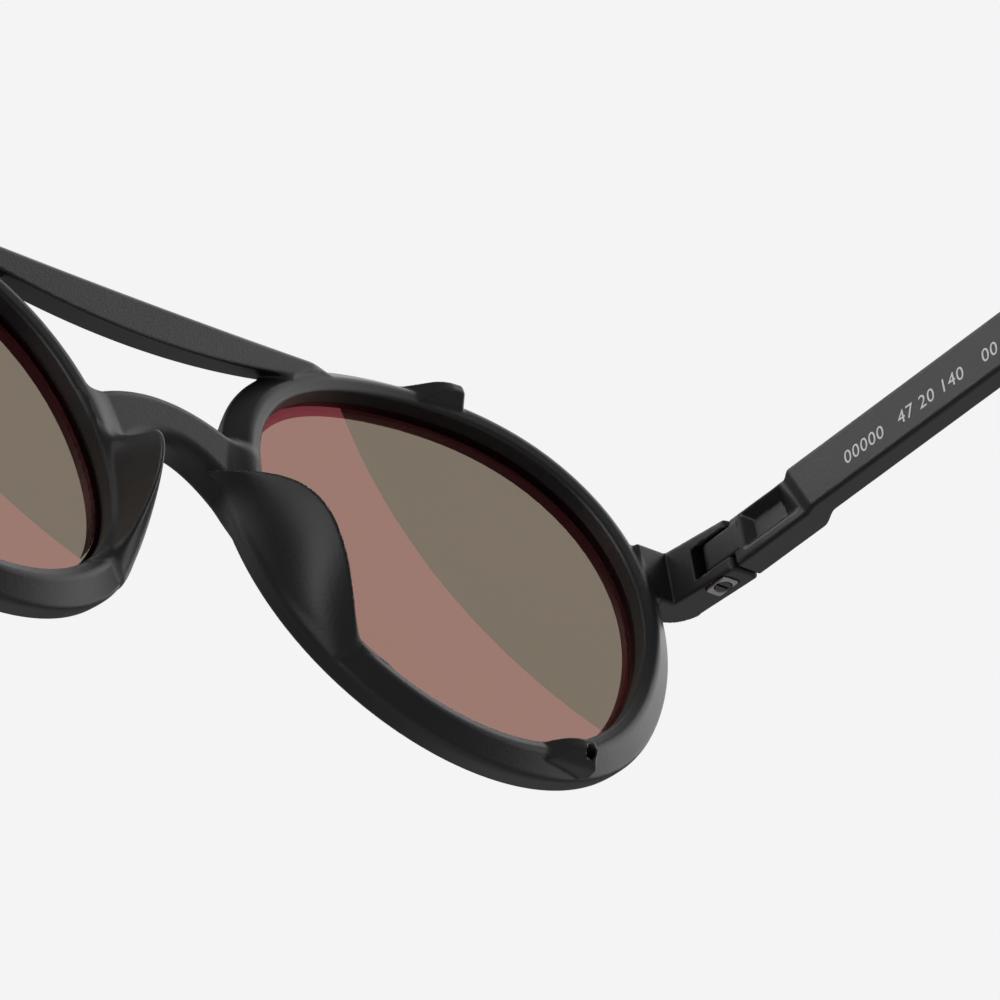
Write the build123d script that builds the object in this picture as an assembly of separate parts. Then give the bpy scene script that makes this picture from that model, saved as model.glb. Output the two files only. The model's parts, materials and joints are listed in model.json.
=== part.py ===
"""Glacier glasses: a moulded double-bridge front with its nose pads, two domed lenses and two folding temples.

Frame: +Z up, the front faces -Y, the temples run to +Y, +X is the wearer's left.
The origin is under the middle of the whole object, on the surface that it stands on.
The wearer's right half is built first, and the left half is its mirror image.
"""
import os
from math import atan2, cos, degrees, radians, sin

from build123d import *

# ---------------------------------------------------------------- driving dimensions, mm and degrees

# Lens opening, measured at the back edge of the rim
OPENING_RADIUS = 23.5       # mean radius of the opening
LENS_GAP = 20.2             # between the two mean circles, across the nose
LENS_SPACING = 2 * OPENING_RADIUS + LENS_GAP   # between the middles of the two openings
OPENING_LEAN = 1.19         # stretch along the diagonal from upper temple to lower nose
OPENING_LEAN_TURN = 6.0
OPENING_TEAR = 0.76         # three-lobed part, which gives the pilot shape
OPENING_TEAR_TURN = 13.0
OPENING_SQUARE = 0.20       # slight squareness
WRAP = 2.7                  # how far each lens turns round the face
PANTOSCOPIC = 8.3           # how far the lower rim leans in to the cheeks
DOME_RADIUS = 107.5         # lens and rim follow one sphere, a five-base lens

# Rim section
RIM_WIDTH = 4.0
RIM_DEPTH = 4.4
RIM_BACK_WIDTH = 1.9
RIM_FRONT_WIDTH = 3.3
FRONT_LIP = 0.3             # how far the front lip reaches over the lens

# Lens
LENS_THICKNESS = 1.4
LENS_SET = 1.7              # from the rim's back face to the back of the lens
GROOVE_DEPTH = 0.7
LENS_EDGE_GAP = 0.05        # clearance between the lens edge and the groove

# Brow bar and lower bridge
BAR_HEIGHT = 4.6
BAR_DEPTH = 3.8
BAR_DOWN = 2.1              # its axis on the centre line, below the top of the mean circle
BAR_MIDDLE = (-2.7, OPENING_RADIUS - BAR_DOWN)   # y, z of its axis on the centre line
BAR_RISE = 0.9              # how much higher its ends are than its middle
BAR_ROUND = 1.1
BAR_INSET = 1.6             # how far from the opening both bars and the endpiece end inside the rim
BRIDGE_HEIGHT = 5.4
BRIDGE_DEPTH = 4.0
BRIDGE_MIDDLE = (-1.6, 7.7)
BRIDGE_DROP = 4.4           # how much lower its ends are than its middle
BRIDGE_ROUND = 1.5
BRIDGE_REACH = 1.0          # how far its ends go past the middle of the rims' width

# Nose pads, moulded in one with the rims: the right pad's ridge from top to bottom
PAD_RIDGE = (               # height, distance from centre, y
    (2.2, 5.4, 2.4), (-3.0, 8.4, 8.2), (-7.5, 10.0, 9.7), (-12.5, 11.7, 8.3), (-19.0, 15.0, 4.4),
)
PAD_RIDGE_WIDTH = 1.4
PAD_RIDGE_LEAN = 0.4        # how much lower the ridge's lens side is than its nose side
PAD_ROOT = 0.5              # how far into the rim's depth the pad's sides run, as a share
PAD_NOSE_EDGE = 0.4         # from the rim's outer wall to the pad's nose side
PAD_LENS_EDGE = 1.0         # from the lens opening to the pad's lens side

# Shield bosses on the back of each rim
BOSS_LENGTH = 7.6
BOSS_CREST = 1.8
BOSS_END = 0.4              # run of its steep end
BOSS_HEIGHT = 1.5
BOSS_WIDTH = 2.4
TOP_BOSS_TURN = 80.0        # place round the opening, from the temple side upwards
BOTTOM_BOSS_TURN = -81.0
BOSS_FROM_EDGE = 0.5
PEG_BORE = 1.2
PEG_BORE_DEPTH = 2.2

# Hinge, in its own frame: x to the nose, y along the temple, z up the pin
HINGE_OUT = 7.2             # from the mean circle to the pin
HINGE_PLACE = (LENS_SPACING / 2 + OPENING_RADIUS + HINGE_OUT, 8.4, 6.8)   # the pin's middle
TEMPLE_SLOPE = 3.0
TEMPLE_SPLAY = 0.9
CHEEK_INNER = 1.5           # pin to the inner face of the endpiece
CHEEK_OUTER = 2.1           # pin to the outer face
CHEEK_TOP = 2.95            # height of the endpiece over the middle of the pin, at the fork
CHEEK_BOTTOM = 3.25
ROOT_TOP = 3.75             # the same where the endpiece leaves the rim
ROOT_BOTTOM = 2.6
ROOT_BACK = 5.3             # pin to the rim's back, along the endpiece
ROOT_FRONT = 8.8            # pin to the endpiece's front face
ROOT_REACH = 5.6            # pin to where the endpiece ends inside the rim
CORNER_CUT = 2.4            # bevel between the endpiece's front and its outer face
BUTT = 3.2                  # pin to the end of the fork
FORK_TOP = 2.0              # slot limits, from the middle of the pin
FORK_BOTTOM = 1.6
FORK_BACK = 2.0
TONGUE_RADIUS = 1.3
TONGUE_ROOT = 1.0           # how far it runs on inside the arm
TONGUE_GAP = 0.1            # running clearance of the tongue, up, down and all round
BUTT_GAP = 0.15
PIN_DIAMETER = 1.2
PIN_GAP = 0.05
BUSH_WALL = 0.35
PIN_HEAD_DIAMETER = 1.7
PIN_HEAD_HEIGHT = 0.45
PIN_HEAD_SET = 0.12
PIN_SLOT = 0.25
PLATE_LENGTH = 3.0
PLATE_WIDTH = 2.0
PLATE_THICKNESS = 0.75
PLATE_ROUND = 0.4
PLATE_SHIFT = 0.1           # its middle, from the pin towards the nose
PLATE_FLUSH = 0.05          # how far it lies under the endpiece's lower face
NUT_DIAMETER = 2.3
NUT_HEIGHT = 0.8

# Temple
TEMPLE_LENGTH = 140.0       # from the pin, along the arm, to the end of the tip
TEMPLE_HEIGHT = 6.1
TEMPLE_INNER = 1.7          # pin to the inner face
HEEL_OUTER = 2.1            # pin to the outer face of the thick part behind the joint
SHAFT_THICKNESS = 2.6
HEEL_LENGTH = 9.5
HEEL_RUN = 3.0              # length of the slope from the thick part to the shaft
ARM_ROUND = 0.5
BEND_START = 92.0
BEND_RADIUS = 30.0
BEND_ANGLE = 42.0
POCKET_START = 1.5          # from the joint to the near end of the shield-clip pocket
POCKET_TOP_LENGTH = 5.8
POCKET_BOTTOM_LENGTH = 7.8
POCKET_HEIGHT = 4.1
POCKET_OFFSET = 0.35        # how far its middle is above the arm's middle
POCKET_DEPTH = 1.3
POCKET_DRAFT = 1.0

# Temple tip and core
TIP_START = 82.0
TIP_HEIGHT = 7.6
TIP_THICKNESS = 4.2
TIP_ROUND = 1.5
SPIGOT_LENGTH = 5.0
SPIGOT_STEP = 0.7
CORE_DIAMETER = 1.4
CORE_START = 50.0
CORE_END_GAP = 11.0
LANYARD_BORE = 3.0
LANYARD_FROM_END = 6.5

# ---------------------------------------------------------------- shared geometry

OUTLINE_POINTS = 16
FAR = 60.0                  # longer than anything that it cuts


def opening_radius(turn):
    """Radius of the lens opening at an angle in degrees, from the temple side upwards."""
    lean = OPENING_LEAN * sin(radians(2 * turn - OPENING_LEAN_TURN))
    tear = OPENING_TEAR * sin(radians(3 * turn + OPENING_TEAR_TURN))
    square = OPENING_SQUARE * cos(radians(4 * turn))
    return OPENING_RADIUS + lean + tear - square


def outline(grow, height=0.0):
    """The opening's outline grown by an amount, as a face in the lens frame."""
    turns = [360.0 * i / OUTLINE_POINTS for i in range(OUTLINE_POINTS)]
    points = []
    for turn in turns:
        radius = opening_radius(turn) + grow
        points.append((radius * cos(radians(turn)), radius * sin(radians(turn)), height))
    return make_face(Spline(*points, periodic=True))


def prism(grow):
    """The outline as a long bar along the lens axis."""
    return extrude(outline(grow, -FAR / 2), FAR)


def dome(depth):
    """Everything behind the spherical surface that lies a depth in front of the rim's back face."""
    return Pos(0, 0, DOME_RADIUS - depth) * Sphere(DOME_RADIUS)


def dome_z(x, y, depth=0.0):
    """Height of that surface over the lens frame."""
    return (x * x + y * y) / (2 * DOME_RADIUS) - depth


def lens_frame():
    """The right lens's frame: x to the temple, y up, z back towards the eye."""
    wrap = radians(WRAP)
    lean = radians(PANTOSCOPIC)
    to_temple = (-cos(wrap), sin(wrap) * cos(lean), sin(wrap) * sin(lean))
    to_eye = (sin(wrap), cos(wrap) * cos(lean), cos(wrap) * sin(lean))
    return Plane(origin=(-LENS_SPACING / 2, 0, 0), x_dir=to_temple, z_dir=to_eye)


def hinge_frame(splay=0.0):
    """The right hinge's frame: x to the nose, y along the temple, z up the pin."""
    across, back, up = HINGE_PLACE
    slope = radians(TEMPLE_SLOPE)
    turn = radians(splay)
    along = (-sin(turn), cos(turn) * cos(slope), -cos(turn) * sin(slope))
    pin = (0, sin(slope), cos(slope))
    to_nose = Vector(*along).cross(Vector(*pin))
    return Plane(origin=(-across, back, up), x_dir=to_nose, z_dir=pin)


def block(x0, x1, y0, y1, z0, z1):
    """A box given by its limits."""
    return Pos((x0 + x1) / 2, (y0 + y1) / 2, (z0 + z1) / 2) * Box(x1 - x0, y1 - y0, z1 - z0)


def pin_cylinder(diameter, z0, z1):
    """A cylinder on the pin's axis between two heights."""
    return Pos(0, 0, (z0 + z1) / 2) * Cylinder(diameter / 2, z1 - z0)


def other_side(solid):
    """The same piece on the wearer's left."""
    return mirror(solid, about=Plane.YZ)


# ---------------------------------------------------------------- front frame

def rim():
    """One rim, widest in the middle of its depth, between two spherical faces."""
    edge = OPENING_RADIUS + RIM_WIDTH
    back = dome_z(edge, 0)
    middle = back - RIM_DEPTH / 2
    stations = [
        outline(2 * RIM_FRONT_WIDTH - RIM_WIDTH, middle - RIM_DEPTH),
        outline(RIM_WIDTH, middle),
        outline(2 * RIM_BACK_WIDTH - RIM_WIDTH, middle + RIM_DEPTH),
    ]
    body = (loft(stations, ruled=True) & dome(RIM_DEPTH)) - dome(0)
    return body - lens_seat()


def on_rim(turn, grow):
    """A point at an angle round the opening, a distance out from its edge, on the rim's back face."""
    radius = opening_radius(turn) + grow
    x = radius * cos(radians(turn))
    y = radius * sin(radians(turn))
    return x, y, dome_z(x, y)


def boss(turn):
    """A wedge on the rim's back face, rising towards the temple, that a side shield hooks over."""
    x, y, face = on_rim(turn, BOSS_FROM_EDGE + BOSS_WIDTH / 2)
    root = -LENS_SET / 2
    half = BOSS_LENGTH / 2
    profile = Polyline(
        (-half, root), (-half, 0), (half - BOSS_CREST, BOSS_HEIGHT),
        (half - BOSS_END, BOSS_HEIGHT), (half, 0), (half, root), close=True,
    )
    wedge = extrude(Plane.XZ * make_face(profile), BOSS_WIDTH / 2, both=True)
    return Pos(x, y, face) * wedge


def peg_place():
    """Middle of the mouth of the peg's bore, on the crest of the lower boss."""
    x, y, face = on_rim(BOTTOM_BOSS_TURN, BOSS_FROM_EDGE + BOSS_WIDTH / 2)
    return x + BOSS_LENGTH / 2 - (BOSS_CREST + BOSS_END) / 2, y, face + BOSS_HEIGHT


def peg_bore():
    """The blind bore for a shield peg, in the lower boss, along the lens axis."""
    x, y, top = peg_place()
    return Pos(x, y, top) * Cylinder(PEG_BORE / 2, 2 * PEG_BORE_DEPTH)


def lens_seat():
    """What is cut from the front for one lens: the opening, its front lip and the groove."""
    front = LENS_SET + LENS_THICKNESS
    groove = prism(GROOVE_DEPTH) & (dome(front) - dome(LENS_SET))
    return prism(-FRONT_LIP) + (prism(0) & dome(front)) + groove


def lens():
    """One domed lens, whose edge sits in the rim's groove."""
    front = LENS_SET + LENS_THICKNESS
    return prism(GROOVE_DEPTH - LENS_EDGE_GAP) & (dome(front) - dome(LENS_SET))


def rim_point(height, grow, depth):
    """Where the nose side of the right rim is at a height, a distance out from the opening."""
    local_y = height / cos(radians(PANTOSCOPIC))
    local_x = -opening_radius(180.0) - grow
    for _ in range(4):
        turn = degrees(atan2(local_y, local_x))
        radius = opening_radius(turn) + grow
        local_x = -(max(radius * radius - local_y * local_y, 0.0)) ** 0.5
    spot = Vector(local_x, local_y, dome_z(local_x, local_y, depth))
    place = lens_frame().from_local_coords(spot)
    return place.X, place.Y


def nose_pad():
    """The right pad, a blade that stands back from the rim beside the nose."""
    depth = PAD_ROOT * RIM_DEPTH
    sections = []
    for height, across, back in PAD_RIDGE:
        corners = (
            rim_point(height, RIM_WIDTH - PAD_NOSE_EDGE, depth),
            (-across + PAD_RIDGE_WIDTH / 2, back),
            (-across - PAD_RIDGE_WIDTH / 2, back - PAD_RIDGE_LEAN),
            rim_point(height, PAD_LENS_EDGE, depth),
        )
        sections.append(make_face(Polyline(*[(x, y, height) for x, y in corners], close=True)))
    lens_room = prism(GROOVE_DEPTH + LENS_EDGE_GAP) - dome(0)
    return loft(sections, ruled=True) - lens_frame() * lens_room


def arched_bar(middle, reach, change, depth, height, corner):
    """A bar of rounded section on an arc across the nose, whose ends lie in the rims."""
    y, z = middle
    path = ThreePointArc((-reach, y, z + change), (0, y, z), (reach, y, z + change))
    start = Plane(origin=path @ 0, x_dir=(0, 1, 0), z_dir=path % 0)
    return sweep(start * RectangleRounded(depth, height, corner), path)


def brow_bar():
    """The upper bar between the rims, slightly arched."""
    reach = (LENS_SPACING - OPENING_RADIUS) / 2
    return arched_bar(BAR_MIDDLE, reach, BAR_RISE, BAR_DEPTH, BAR_HEIGHT, BAR_ROUND)


def lower_bridge():
    """The saddle bridge over the nose."""
    reach = (LENS_SPACING - RIM_WIDTH) / 2 - OPENING_RADIUS + BRIDGE_REACH
    return arched_bar(BRIDGE_MIDDLE, reach, -BRIDGE_DROP, BRIDGE_DEPTH, BRIDGE_HEIGHT, BRIDGE_ROUND)


def endpiece():
    """The right endpiece in the hinge frame: from the rim round the corner to the forked end."""
    plan = Polyline(
        (CHEEK_INNER, BUTT), (-CHEEK_OUTER, BUTT), (-CHEEK_OUTER, CORNER_CUT - ROOT_FRONT),
        (CORNER_CUT - CHEEK_OUTER, -ROOT_FRONT), (ROOT_REACH, -ROOT_FRONT),
        (ROOT_REACH, -ROOT_BACK), (CHEEK_INNER, -ROOT_BACK), close=True,
    )
    side = Polyline(
        (BUTT, -CHEEK_BOTTOM), (BUTT, CHEEK_TOP), (-ROOT_BACK, ROOT_TOP), (-ROOT_FRONT, ROOT_TOP),
        (-ROOT_FRONT, -ROOT_BOTTOM), (-ROOT_BACK, -ROOT_BOTTOM), close=True,
    )
    tall = extrude(make_face(plan), FAR / 2, both=True)
    wide = extrude(Plane.YZ * make_face(side), FAR / 2, both=True)
    return tall & wide


def fork_cuts():
    """The slot for the tongue, the rounded lug ends, and the bores and pockets for the metal parts."""
    slot = block(-TONGUE_RADIUS - TONGUE_GAP, FAR, -FORK_BACK, FAR, -FORK_BOTTOM, FORK_TOP)
    corner = block(0, FAR, 0, FAR, -FAR, FAR) - pin_cylinder(2 * BUTT, -FAR, FAR)
    return slot + corner + hinge_plate() + hinge_nut(solid=True) + pin_shaft()


def pin_shaft():
    """The screw's shank, from its head to the far side of the nut."""
    return pin_cylinder(PIN_DIAMETER, -CHEEK_BOTTOM + PIN_HEAD_SET, FORK_TOP + NUT_HEIGHT)


def hinge_screw():
    """The hinge screw, put in from below."""
    foot = -CHEEK_BOTTOM + PIN_HEAD_SET
    head = Pos(0, 0, foot + PIN_HEAD_HEIGHT / 2) * Cone(PIN_HEAD_DIAMETER / 2, PIN_DIAMETER / 2, PIN_HEAD_HEIGHT)
    slot = block(-FAR, FAR, -PIN_SLOT / 2, PIN_SLOT / 2, foot - FAR, foot + PIN_SLOT)
    return pin_shaft() + head - slot


def hinge_plate():
    """The small plate let into the underside of the endpiece, with the screw's head in it."""
    plate = extrude(RectangleRounded(PLATE_WIDTH, PLATE_LENGTH, PLATE_ROUND), PLATE_THICKNESS)
    return Pos(PLATE_SHIFT, 0, PLATE_FLUSH - CHEEK_BOTTOM) * plate


def hinge_nut(solid=False):
    """The threaded insert in the upper lug."""
    nut = pin_cylinder(NUT_DIAMETER, FORK_TOP, FORK_TOP + NUT_HEIGHT)
    return nut if solid else nut - pin_shaft()


def right_half():
    """The right half of the front, up to the middle of both bars."""
    frame = lens_frame()
    inside = frame * prism(BAR_INSET)
    bars = (brow_bar() + lower_bridge()) & block(-FAR, 0, -FAR, FAR, -FAR, FAR)
    side = rim() + (boss(TOP_BOSS_TURN) + boss(BOTTOM_BOSS_TURN) - prism(0)) - peg_bore()
    block_end = hinge_frame() * (endpiece() - fork_cuts())
    return frame * side + nose_pad() + (bars - inside) + (block_end - inside)


def front_frame():
    """The whole front: rims, bars, nose pads, shield bosses and endpieces, moulded in one."""
    right = right_half()
    return right + other_side(right)


# ---------------------------------------------------------------- temple, in the hinge frame

def arm_path(start, end):
    """The arm's middle line between two distances from the pin: straight, the ear bend, straight."""
    middle = TEMPLE_INNER - SHAFT_THICKNESS / 2
    straight = Line((middle, start, 0), (middle, min(end, BEND_START), 0))
    if end <= BEND_START:
        return straight
    full = radians(BEND_ANGLE) * BEND_RADIUS
    turned = BEND_ANGLE * min((end - BEND_START) / full, 1.0)
    centre = (middle, BEND_START, -BEND_RADIUS)

    def on_bend(angle):
        a = radians(angle)
        return middle, centre[1] + BEND_RADIUS * sin(a), centre[2] + BEND_RADIUS * cos(a)

    bend = ThreePointArc(on_bend(0), on_bend(turned / 2), on_bend(turned))
    rest = end - BEND_START - full
    if rest <= 0:
        return Wire([straight, bend])
    x, y, z = on_bend(BEND_ANGLE)
    a = radians(BEND_ANGLE)
    drop = Line((x, y, z), (x, y + rest * cos(a), z - rest * sin(a)))
    return Wire([straight, bend, drop])


def along_arm(section, start, end):
    """A section swept along the arm's middle line."""
    path = arm_path(start, end)
    first = Plane(origin=path @ 0, x_dir=(1, 0, 0), z_dir=path % 0)
    return sweep(first * section, path)


def tongue():
    """The tongue that turns in the fork."""
    low = TONGUE_GAP - FORK_BOTTOM
    high = FORK_TOP - TONGUE_GAP
    root = BUTT + BUTT_GAP + TONGUE_ROOT
    head = pin_cylinder(2 * TONGUE_RADIUS, low, high)
    return head + block(-TONGUE_RADIUS, TONGUE_RADIUS, 0, root, low, high)


def hinge_bush():
    """The bush in the tongue that the screw turns in."""
    low = TONGUE_GAP - FORK_BOTTOM
    high = FORK_TOP - TONGUE_GAP
    bore = PIN_DIAMETER + 2 * PIN_GAP
    return pin_cylinder(bore + 2 * BUSH_WALL, low, high) - pin_cylinder(bore, low, high)


def clip_pocket():
    """The recess behind the joint that a side shield's clip springs into."""
    near = BUTT + BUTT_GAP + POCKET_START
    low = POCKET_OFFSET - POCKET_HEIGHT / 2
    high = POCKET_OFFSET + POCKET_HEIGHT / 2
    draft = POCKET_DRAFT
    mouth = ((near, low), (near, high), (near + POCKET_TOP_LENGTH, high), (near + POCKET_BOTTOM_LENGTH, low))
    floor = (
        (near + draft, low + draft), (near + draft, high - draft),
        (near + POCKET_TOP_LENGTH - draft, high - draft), (near + POCKET_BOTTOM_LENGTH - 2 * draft, low + draft),
    )
    levels = ((TEMPLE_INNER, mouth), (TEMPLE_INNER - POCKET_DEPTH, floor))
    faces = [make_face(Polyline(*[(x, y, z) for y, z in corners], close=True)) for x, corners in levels]
    return loft(faces, ruled=True)


def core_wire():
    """The bendable steel wire inside the arm and the tip."""
    return along_arm(Circle(CORE_DIAMETER / 2), CORE_START, TEMPLE_LENGTH - CORE_END_GAP)


def temple_arm():
    """The moulded arm: thick heel at the joint, shaft, and a spigot that the tip is pushed over."""
    joint = BUTT + BUTT_GAP
    shaft = along_arm(RectangleRounded(SHAFT_THICKNESS, TEMPLE_HEIGHT, ARM_ROUND), joint, TIP_START)
    step = 2 * SPIGOT_STEP
    spigot_section = Rectangle(SHAFT_THICKNESS - step, TEMPLE_HEIGHT - step)
    spigot = along_arm(spigot_section, TIP_START, TIP_START + SPIGOT_LENGTH)
    inner = TEMPLE_INNER - SHAFT_THICKNESS / 2
    heel_plan = Polyline(
        (inner, joint), (-HEEL_OUTER, joint), (-HEEL_OUTER, joint + HEEL_LENGTH),
        (TEMPLE_INNER - SHAFT_THICKNESS, joint + HEEL_LENGTH + HEEL_RUN),
        (inner, joint + HEEL_LENGTH + HEEL_RUN), close=True,
    )
    heel = extrude(make_face(heel_plan), TEMPLE_HEIGHT / 2, both=True)
    bore = pin_cylinder(PIN_DIAMETER + 2 * (PIN_GAP + BUSH_WALL), -FAR, FAR)
    return shaft + heel + spigot + tongue() - bore - clip_pocket() - core_wire()


def temple_tip():
    """The soft sleeve over the arm's end, with the lanyard's bore through it."""
    sleeve = along_arm(RectangleRounded(TIP_THICKNESS, TIP_HEIGHT, TIP_ROUND), TIP_START, TEMPLE_LENGTH)
    step = 2 * SPIGOT_STEP
    spigot_section = Rectangle(SHAFT_THICKNESS - step, TEMPLE_HEIGHT - step)
    socket = along_arm(spigot_section, TIP_START, TIP_START + SPIGOT_LENGTH)
    x, y, z = lanyard_place()
    hole = Pos(x, y, z) * Rot(0, 90, 0) * Cylinder(LANYARD_BORE / 2, FAR)
    return sleeve - socket - core_wire() - hole


def lanyard_place():
    """Middle of the lanyard's bore."""
    spot = arm_path(0, TEMPLE_LENGTH - LANYARD_FROM_END) @ 1
    return spot.X, spot.Y, spot.Z


# ---------------------------------------------------------------- assembly

def right_side():
    """Every piece that is made for the wearer's right and mirrored for the left."""
    fixed = hinge_frame()
    turned = hinge_frame(TEMPLE_SPLAY)
    return {
        "lens": lens_frame() * lens(),
        "hinge_plate": fixed * (hinge_plate() - hinge_screw() - pin_shaft()),
        "hinge_nut": fixed * hinge_nut(),
        "hinge_screw": fixed * hinge_screw(),
        "hinge_bush": turned * hinge_bush(),
        "temple_arm": turned * temple_arm(),
        "temple_core": turned * core_wire(),
        "temple_tip": turned * temple_tip(),
    }


def assembly():
    """All nodes by name, before they are moved to the stand."""
    front = front_frame()
    pieces = right_side()
    nodes = {"front_frame": front}
    for name, solid in pieces.items():
        nodes[name + "_right"] = solid
        nodes[name + "_left"] = other_side(solid)
    return nodes


def stand_shift(nodes):
    """The move that puts the origin under the middle of the object, on the surface it stands on."""
    boxes = [solid.bounding_box() for solid in nodes.values()]
    front = min(box.min.Y for box in boxes)
    back = max(box.max.Y for box in boxes)
    floor = min(box.min.Z for box in boxes)
    return Vector(0, -(front + back) / 2, -floor)


def main():
    os.makedirs("parts", exist_ok=True)
    nodes = assembly()
    shift = stand_shift(nodes)
    for name, solid in nodes.items():
        export_step(Pos(shift.X, shift.Y, shift.Z) * solid, f"parts/{name}.step")
    places = {
        "hinge pin": (hinge_frame(), (0, 0, 0)),
        "pin direction": (hinge_frame(), (0, 0, 1)),
        "peg bore": (lens_frame(), peg_place()),
        "lanyard bore": (hinge_frame(TEMPLE_SPLAY), lanyard_place()),
        "clip pocket": (hinge_frame(TEMPLE_SPLAY), (TEMPLE_INNER, BUTT + BUTT_GAP + POCKET_START, 0)),
    }
    for name, (frame, spot) in places.items():
        place = frame.from_local_coords(Vector(*spot)) + shift
        print(f"{name}, right: {place.X:.3f} {place.Y:.3f} {place.Z:.3f}")


main()
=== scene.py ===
"""Glacier glasses: the looks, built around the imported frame."""
import json
from math import cos, pi, radians, sin

import bpy
import numpy as np
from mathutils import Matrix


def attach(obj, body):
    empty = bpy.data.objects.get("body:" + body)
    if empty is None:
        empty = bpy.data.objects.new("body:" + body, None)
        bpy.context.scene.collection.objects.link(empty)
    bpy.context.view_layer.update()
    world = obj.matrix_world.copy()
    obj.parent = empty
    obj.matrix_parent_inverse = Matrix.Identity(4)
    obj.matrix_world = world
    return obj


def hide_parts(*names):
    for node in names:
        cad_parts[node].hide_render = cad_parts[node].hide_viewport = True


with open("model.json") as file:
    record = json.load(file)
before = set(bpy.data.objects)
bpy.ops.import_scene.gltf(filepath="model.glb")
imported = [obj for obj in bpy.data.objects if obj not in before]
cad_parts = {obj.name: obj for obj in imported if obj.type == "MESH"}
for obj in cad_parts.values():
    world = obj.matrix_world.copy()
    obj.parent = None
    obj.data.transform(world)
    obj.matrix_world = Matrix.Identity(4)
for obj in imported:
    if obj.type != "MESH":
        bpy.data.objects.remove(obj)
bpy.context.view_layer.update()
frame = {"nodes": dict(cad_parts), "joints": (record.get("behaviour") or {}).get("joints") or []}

import openvdb
from mathutils import Matrix, Vector

# ---------------------------------------------------------------- where the glasses stand
# All lengths below are millimetres from the middle of the nose, level with the lens centres;
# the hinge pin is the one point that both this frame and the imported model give.
MM = 0.001
HINGE_PLACE = Vector((-64.3, 8.4, 6.8))
joints = {joint["name"]: joint for joint in frame["joints"]}
pin_place = Vector(joints["right_temple_fold"]["pos_m"])
middle = pin_place - HINGE_PLACE * MM


def to_model(points):
    """Millimetre points from the nose's middle, as metres in the model's frame."""
    return np.asarray(points, float) * MM + np.array(middle)


# Camera: a long lens, behind and below the wearer's left temple, looking at the right hinge
CAMERA_REACH = 0.76136
CAMERA_AZIMUTH = radians(132.472)
CAMERA_ELEVATION = radians(-35.973)
CAMERA_ROLL = radians(-12.456)
CAMERA_LENS = 275.03
CAMERA_AIM = Vector((20.48, -8.4, 6.36))

back = Vector((
    cos(CAMERA_ELEVATION) * sin(CAMERA_AZIMUTH),
    -cos(CAMERA_ELEVATION) * cos(CAMERA_AZIMUTH),
    sin(CAMERA_ELEVATION),
))
level = Vector((0, 0, 1)).cross(back).normalized()
upright = back.cross(level)
right = cos(CAMERA_ROLL) * level + sin(CAMERA_ROLL) * upright
up = cos(CAMERA_ROLL) * upright - sin(CAMERA_ROLL) * level
aim = pin_place + CAMERA_AIM * MM

camera = bpy.data.objects.new("camera", bpy.data.cameras.new("camera"))
camera.data.lens = CAMERA_LENS
camera.data.sensor_width = 36.0
camera.data.clip_end = 20.0
camera_axes = Matrix((right, up, back)).transposed().to_4x4()
camera.matrix_world = Matrix.Translation(aim + back * CAMERA_REACH) @ camera_axes
bpy.context.scene.collection.objects.link(camera)
bpy.context.scene.camera = camera
bpy.context.scene.view_settings.view_transform = "Standard"


def linear(code):
    """An sRGB hex colour as linear RGBA."""
    parts = [int(code[i:i + 2], 16) / 255 for i in (1, 3, 5)]
    return [p / 12.92 if p <= 0.04045 else ((p + 0.055) / 1.055) ** 2.4 for p in parts] + [1.0]


def add(tree, kind, values=(), links=(), **settings):
    """A node with its settings, its socket values and what feeds its sockets."""
    node = tree.nodes.new(kind)
    for name, value in settings.items():
        setattr(node, name, value)
    for name, value in dict(values).items():
        node.inputs[name].default_value = value
    for name, source in dict(links).items():
        tree.links.new(source, node.inputs[name])
    return node


# ---------------------------------------------------------------- studio
# A pale cove far below, a soft white room, and softboxes that only the glasses see.
FLOOR_DROP = 1.6
FLOOR_SIZE = 8.0
BACKGROUND = linear("#F4F4F4")
ROOM = linear("#6E6E6E")

world = bpy.data.worlds.new("studio")
bpy.context.scene.world = world
world.use_nodes = True
tree = world.node_tree
tree.nodes.clear()
path = add(tree, "ShaderNodeLightPath")
seen = add(tree, "ShaderNodeBackground", {"Color": BACKGROUND, "Strength": 1.0})
room = add(tree, "ShaderNodeBackground", {"Color": ROOM, "Strength": 1.0})
direct = add(tree, "ShaderNodeMath", (), {
    0: path.outputs["Is Camera Ray"], 1: path.outputs["Is Transmission Ray"]}, operation="MAXIMUM")
mix = add(tree, "ShaderNodeMixShader", (), {0: direct.outputs[0], 1: room.outputs[0], 2: seen.outputs[0]})
add(tree, "ShaderNodeOutputWorld", (), {"Surface": mix.outputs[0]})


def material(name):
    """A new material with an empty node tree."""
    made = bpy.data.materials.new(name)
    made.use_nodes = True
    made.node_tree.nodes.clear()
    return made


def plane(name, centre, facing, width, height):
    """A flat sheet that faces a point."""
    towards = (Vector(facing) - Vector(centre)).normalized()
    side = towards.cross(Vector((0, 0, 1)) if abs(towards.z) < 0.9 else Vector((0, 1, 0))).normalized()
    rise = side.cross(towards)
    corners = [(-1, -1), (1, -1), (1, 1), (-1, 1)]
    points = [Vector(centre) + side * (a * width / 2) + rise * (b * height / 2) for a, b in corners]
    mesh = bpy.data.meshes.new(name)
    mesh.from_pydata(points, [], [(0, 1, 2, 3)])
    made = bpy.data.objects.new(name, mesh)
    bpy.context.scene.collection.objects.link(made)
    return made


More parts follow.
